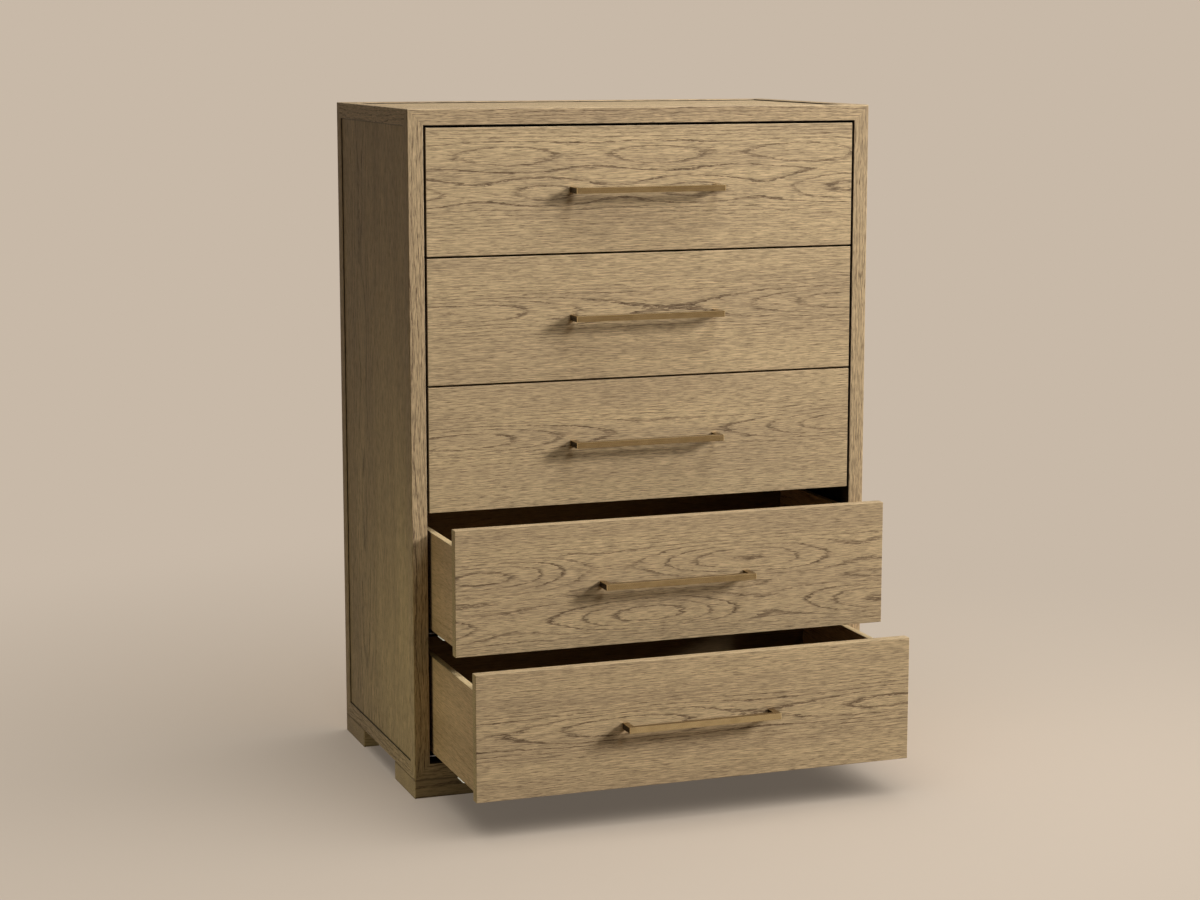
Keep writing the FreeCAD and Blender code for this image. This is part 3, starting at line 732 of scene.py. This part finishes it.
RIB_PITCH = 0.0026
RIB_COUNT = 4


def bent(outline):
    """The outline of a bent sheet with its bends rounded; its cut ends stay square."""
    radii = []
    for index, corner in enumerate(outline):
        here = Vector(corner)
        before = Vector(outline[index - 1]) - here
        after = Vector(outline[(index + 1) % len(outline)]) - here
        if min(before.length, after.length) < CUT_END:
            radii.append(0)
            continue
        turns_left = before.x * after.y - before.y * after.x < 0
        radii.append(BEND + SHEET if turns_left else BEND)
    return rounded(outline, radii, BEND_STEPS)


def channel(left, right, low, high):
    """Section of a channel that is open at the bottom."""
    return [(left, low), (left + SHEET, low), (left + SHEET, high - SHEET), (right - SHEET, high - SHEET),
            (right - SHEET, low), (right, low), (right, high), (left, high)]


def case_runner():
    """Section of a case runner: a wall flange, a raised rail and a lip."""
    rail_top = TOP - 2 * WRAP
    return [(0, WEB - SHEET), (RAIL[0] + SHEET, WEB - SHEET), (RAIL[0] + SHEET, rail_top - SHEET),
            (RAIL[1] - SHEET, rail_top - SHEET), (RAIL[1] - SHEET, WEB - SHEET), (LIP + SHEET, WEB - SHEET),
            (LIP + SHEET, LIP_TOP), (LIP, LIP_TOP), (LIP, WEB), (RAIL[1], WEB), (RAIL[1], rail_top),
            (RAIL[0], rail_top), (RAIL[0], WEB), (SHEET, WEB), (SHEET, FLANGE_TOP), (0, FLANGE_TOP)]


def runner_pair(mesh, outline, base, start, end):
    """Add a left runner of a section and its mirror image on the right, seen from their own wall."""
    for side in (-1, 1):
        solid_between(mesh, outline, start, end,
                      lambda u, v, w: (side * (case_wall - u), w, base + v))


def moulded_clip(mesh, side, outer, inner, front, under):
    """Add a plastic clip: a plate with rounded corners, a raised pad and ribs for the thumb."""
    back = front + CLIP_LENGTH
    pad_front, pad_back = front + PAD_START, back - PAD_MARGIN
    plate = [(outer, front), (inner, front), (inner, back), (outer, back)]
    pad = [(outer - PAD_MARGIN, pad_front), (inner + CLIP_MARGIN, pad_front),
           (inner + CLIP_MARGIN, pad_back), (outer - PAD_MARGIN, pad_back)]
    layers = [(rounded(plate, [CLIP_CORNER] * 4), RIB_HEIGHT, PLATE_TOP),
              (rounded(pad, [PAD_CORNER] * 4), PLATE_TOP, CLIP_HEIGHT)]
    for step in range(RIB_COUNT):
        rib = front + CLIP_MARGIN + step * RIB_PITCH
        ridge = [(outer - CLIP_MARGIN, rib), (inner + CLIP_MARGIN, rib),
                 (inner + CLIP_MARGIN, rib + RIB_WIDTH), (outer - CLIP_MARGIN, rib + RIB_WIDTH)]
        layers.append((ridge, 0.0, RIB_HEIGHT))
    for outline, low, high in layers:
        solid_between(mesh, outline, under + low, under + high, lambda u, v, w: (side * u, v, w))


WHITE_PLASTIC = srgb(250, 250, 247)
SOILED_PLASTIC = srgb(238, 236, 230)
MOULD_RATE = (900.0, 900.0, 900.0)
SOIL_RATE = (70.0, 70.0, 70.0)
MOULDED_ROUGHNESS = (0.4, 0.5)
plastic, tree, shader = new_material("clip_plastic")
spot = add(tree, "ShaderNodeTexCoord").outputs["Object"]
moulding = noise(tree, spot, MOULD_RATE, 2.0, 0.5).outputs[0]
soiled = noise(tree, spot, SOIL_RATE, 2.0, 0.5).outputs[0]
colour = blend(tree, ramp(tree, soiled, 0.4, 0.75), WHITE_PLASTIC, SOILED_PLASTIC)
tree.links.new(colour, shader.inputs["Base Color"])
tree.links.new(ramp(tree, moulding, 0.3, 0.7, *MOULDED_ROUGHNESS), shader.inputs["Roughness"])

runner_screw = cross_head(radius=0.0034, height=0.0016, shank_radius=0.0018, shank=0.008)
case_low, case_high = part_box("case_runners")
case_wall = case_high.x
case_mesh = bmesh.new()
screw_mesh = bmesh.new()
for number in DRAWERS:
    body = f"drawer_{number}"
    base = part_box(f"{body}_left_side")[0].z
    runner_pair(case_mesh, bent(case_runner()), base, case_low.y, case_high.y)
    for side in (-1, 1):
        for share in SCREW_SHARES:
            along = case_low.y + share * (case_high.y - case_low.y)
            spot = Vector((side * (case_wall - SHEET), along, base + SCREW_RISE))
            place_copy(screw_mesh, runner_screw, spot, (-side, 0, 0))

    low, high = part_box(f"{body}_middle_runners")
    section = channel(RAIL[0] - WRAP, RAIL[1] + WRAP, WEB + RUNNING_GAP, TOP - WRAP)
    mesh = bmesh.new()
    runner_pair(mesh, bent(section), base, low.y, high.y)
    piece = finished(mesh, f"{body}_middle_channels", steel)
    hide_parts(f"{body}_middle_runners")
    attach(piece, f"{body}_middle")

    low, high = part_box(f"{body}_runners")
    section = channel(RAIL[0] - 2 * WRAP, RAIL[1] + 2 * WRAP, SKIRT, TOP)
    mesh = bmesh.new()
    runner_pair(mesh, bent(section), base, low.y, high.y)
    channels = finished(mesh, f"{body}_box_channels", steel)
    mesh = bmesh.new()
    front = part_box(f"{body}_front")[0].y + CLIP_START
    for side in (-1, 1):
        moulded_clip(mesh, side, high.x, case_wall - RAIL[0] + 2 * WRAP, front, base - CLIP_HEIGHT)
    bevel_sharp(mesh, CLIP_EDGE)
    clips = finished(mesh, f"{body}_clips", plastic)
    for piece in (channels, clips):
        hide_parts(f"{body}_runners")
        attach(piece, body)
case_channels = finished(case_mesh, "case_channels", steel)
case_screws = finished(screw_mesh, "case_runner_screws", steel)
for piece in (case_channels, case_screws):
    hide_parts("case_runners")
    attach(piece, "case")

# Back screws
# Twelve small cross-head screws of zinc-plated steel, driven round the edge of the back board.
# Their heads stay inside the plane of the frame's rear face.

# Where the screws stand along the upright and the level edges, as shares of their length.
SCREW_INSET = 0.012
UPRIGHT_SHARES = (0.04, 0.35, 0.65, 0.96)
LEVEL_SHARES = (0.33, 0.67)
low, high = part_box("back_panel")
heights = [low.z + share * (high.z - low.z) for share in UPRIGHT_SHARES]
places = [low.x + share * (high.x - low.x) for share in LEVEL_SHARES]
spots = [(x, z) for z in heights for x in (low.x + SCREW_INSET, high.x - SCREW_INSET)]
spots += [(x, z) for x in places for z in (low.z + SCREW_INSET, high.z - SCREW_INSET)]
screw_mesh = bmesh.new()
for x, z in spots:
    place_copy(screw_mesh, runner_screw, Vector((x, high.y, z)), (0, 1, 0))
back_screws = finished(screw_mesh, "back_screws", steel)
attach(back_screws, "case")

# Studio
# A plain pale floor without an end, a pale backdrop of the same colour, and soft lamps: a large
# one from the right, others from above and behind, and small ones for what lies in shade.
PALE = srgb(200, 185, 168)
FLOOR_SHADE = srgb(120, 105, 90)
FILL = srgb(204, 206, 180)
FILL_STRENGTH = 0.06
FLOOR_REACH = 40.0
CHEST_MIDDLE = (0.0, 0.0, 0.75)
WHITE = (1.0, 1.0, 1.0)


def background_rays(tree):
    """Two masks: for the rays that a mirror or glass sends on, and for those and the camera's."""
    rays = add(tree, "ShaderNodeLightPath").outputs
    mirrored = maths(tree, "MAXIMUM", rays["Is Glossy Ray"], rays["Is Transmission Ray"])
    return mirrored, maths(tree, "MAXIMUM", rays["Is Camera Ray"], mirrored)


def only_for(name, objects, state):
    """A collection that a lamp lights: nothing but some objects, or all but them."""
    made = bpy.data.collections.new(name)
    for one in objects:
        made.objects.link(one)
    for member in made.collection_objects:
        member.light_linking.link_state = state
    return made


def lamp(name, place, aim, size, power, colour, lit):
    """A square soft box that the camera doesn't see."""
    data = bpy.data.lights.new(name, "AREA")
    data.shape = "SQUARE"
    data.size = size
    data.energy = power
    data.color = colour
    made = bpy.data.objects.new(name, data)
    bpy.context.scene.collection.objects.link(made)
    made.location = place
    made.rotation_euler = (Vector(aim) - Vector(place)).to_track_quat("-Z", "Y").to_euler()
    made.visible_camera = False
    made.light_linking.receiver_collection = lit


# How far from the origin the floor shows the chest's shadow, and where it has faded into the glow.
SHADOW_RANGE = (0.9, 2.6)
floor_mesh = bmesh.new()
bmesh.ops.create_grid(floor_mesh, x_segments=2, y_segments=2, size=FLOOR_REACH)
floor_data = bpy.data.meshes.new("floor")
floor_mesh.to_mesh(floor_data)
floor_mesh.free()
floor = bpy.data.objects.new("floor", floor_data)
bpy.context.scene.collection.objects.link(floor)

floor_paint, tree, shader = new_material("floor_paint")
shader.inputs["Roughness"].default_value = 0.9
shader.inputs["Specular IOR Level"].default_value = 0.0
glow = add(tree, "ShaderNodeEmission", {"Color": PALE, "Strength": 1.0})
spot = add(tree, "ShaderNodeTexCoord").outputs["Object"]
distance = add(tree, "ShaderNodeVectorMath", {0: spot}, operation="LENGTH").outputs["Value"]
mirrored, seen = background_rays(tree)
far = maths(tree, "MAXIMUM", ramp(tree, distance, *SHADOW_RANGE, 0.2, 1.0), mirrored)
tree.links.new(blend(tree, seen, FLOOR_SHADE, PALE), shader.inputs["Base Color"])
fade = add(tree, "ShaderNodeMixShader", {0: maths(tree, "MULTIPLY", far, seen), 1: shader.outputs[0],
                                         2: glow.outputs[0]})
tree.links.new(fade.outputs[0], tree.nodes["Material Output"].inputs["Surface"])
floor_data.materials.append(floor_paint)

world = bpy.data.worlds.new("studio")
bpy.context.scene.world = world
world.use_nodes = True
tree = world.node_tree
fill = tree.nodes["Background"]
fill.inputs["Color"].default_value = FILL
fill.inputs["Strength"].default_value = FILL_STRENGTH
plain = add(tree, "ShaderNodeBackground", {"Color": PALE, "Strength": 1.0})
mirrored, seen = background_rays(tree)
mixed = add(tree, "ShaderNodeMixShader", {0: seen, 1: fill.outputs[0], 2: plain.outputs[0]})
tree.links.new(mixed.outputs[0], tree.nodes["World Output"].inputs["Surface"])

bars = [bpy.data.objects[f"drawer_{number}_pull_bar"] for number in DRAWERS]
white_clips = [bpy.data.objects[f"drawer_{number}_clips"] for number in DRAWERS]
right_sides = [nodes[f"drawer_{number}_right_side"] for number in DRAWERS]
chest_light = only_for("chest_light", [floor], "EXCLUDE")
side_light = only_for("side_light", [floor, case_channels, *bars, *right_sides], "EXCLUDE")
bar_light = only_for("bar_light", bars, "INCLUDE")
floor_light = only_for("floor_light", [floor], "INCLUDE")
clip_light = only_for("clip_light", white_clips, "INCLUDE")

lamp("key", place=(7.4, -5.1, 4.5), aim=CHEST_MIDDLE, size=2.5, power=890, colour=(1.0, 0.985, 0.96),
     lit=chest_light)
lamp("over", place=(0.87, -1.01, 3.64), aim=CHEST_MIDDLE, size=1.6, power=66, colour=(0.95, 0.98, 1.0),
     lit=chest_light)
lamp("side", place=(-1.0, -0.2, 0.15), aim=(-0.45, -0.05, 0.3), size=0.4, power=0.85,
     colour=(0.98, 1.0, 0.62), lit=side_light)
lamp("clip_light", place=(-1.0, -0.9, 0.1), aim=(-0.42, -0.3, 0.2), size=0.3, power=3.0, colour=WHITE,
     lit=clip_light)
lamp("card", place=(0.3, -1.1, 0.02), aim=(0.3, -1.1, 1.0), size=0.8, power=1.0,
     colour=(1.0, 0.98, 0.92), lit=bar_light)
lamp("rear", place=(1.6, 6.5, 0.7), aim=CHEST_MIDDLE, size=1.2, power=420, colour=(1.0, 0.99, 0.97),
     lit=chest_light)
lamp("floor_glow", place=(1.1, -1.1, 4.8), aim=(0.0, 0.0, 0.0), size=8.0, power=500, colour=WHITE,
     lit=floor_light)

# Camera
# It stands in front of the chest, to the left and a little above its top, as in the photograph.
# Its place and angles were worked out from the chest's straight edges there.
LENS = 76.146
SENSOR = 36.0
CAMERA_PLACE = Vector((-1.7821, -4.7781, 1.4847))
CAMERA_YAW = math.radians(19.856)
CAMERA_PITCH = math.radians(9.234)
camera_data = bpy.data.cameras.new("camera")
camera_data.lens = LENS
camera_data.sensor_width = SENSOR
camera = bpy.data.objects.new("camera", camera_data)
bpy.context.scene.collection.objects.link(camera)
camera.location = CAMERA_PLACE
sight = Vector((math.sin(CAMERA_YAW) * math.cos(CAMERA_PITCH),
                math.cos(CAMERA_YAW) * math.cos(CAMERA_PITCH), -math.sin(CAMERA_PITCH)))
camera.rotation_euler = sight.to_track_quat("-Z", "Y").to_euler()
bpy.context.scene.camera = camera
bpy.context.scene.view_settings.view_transform = "Standard"
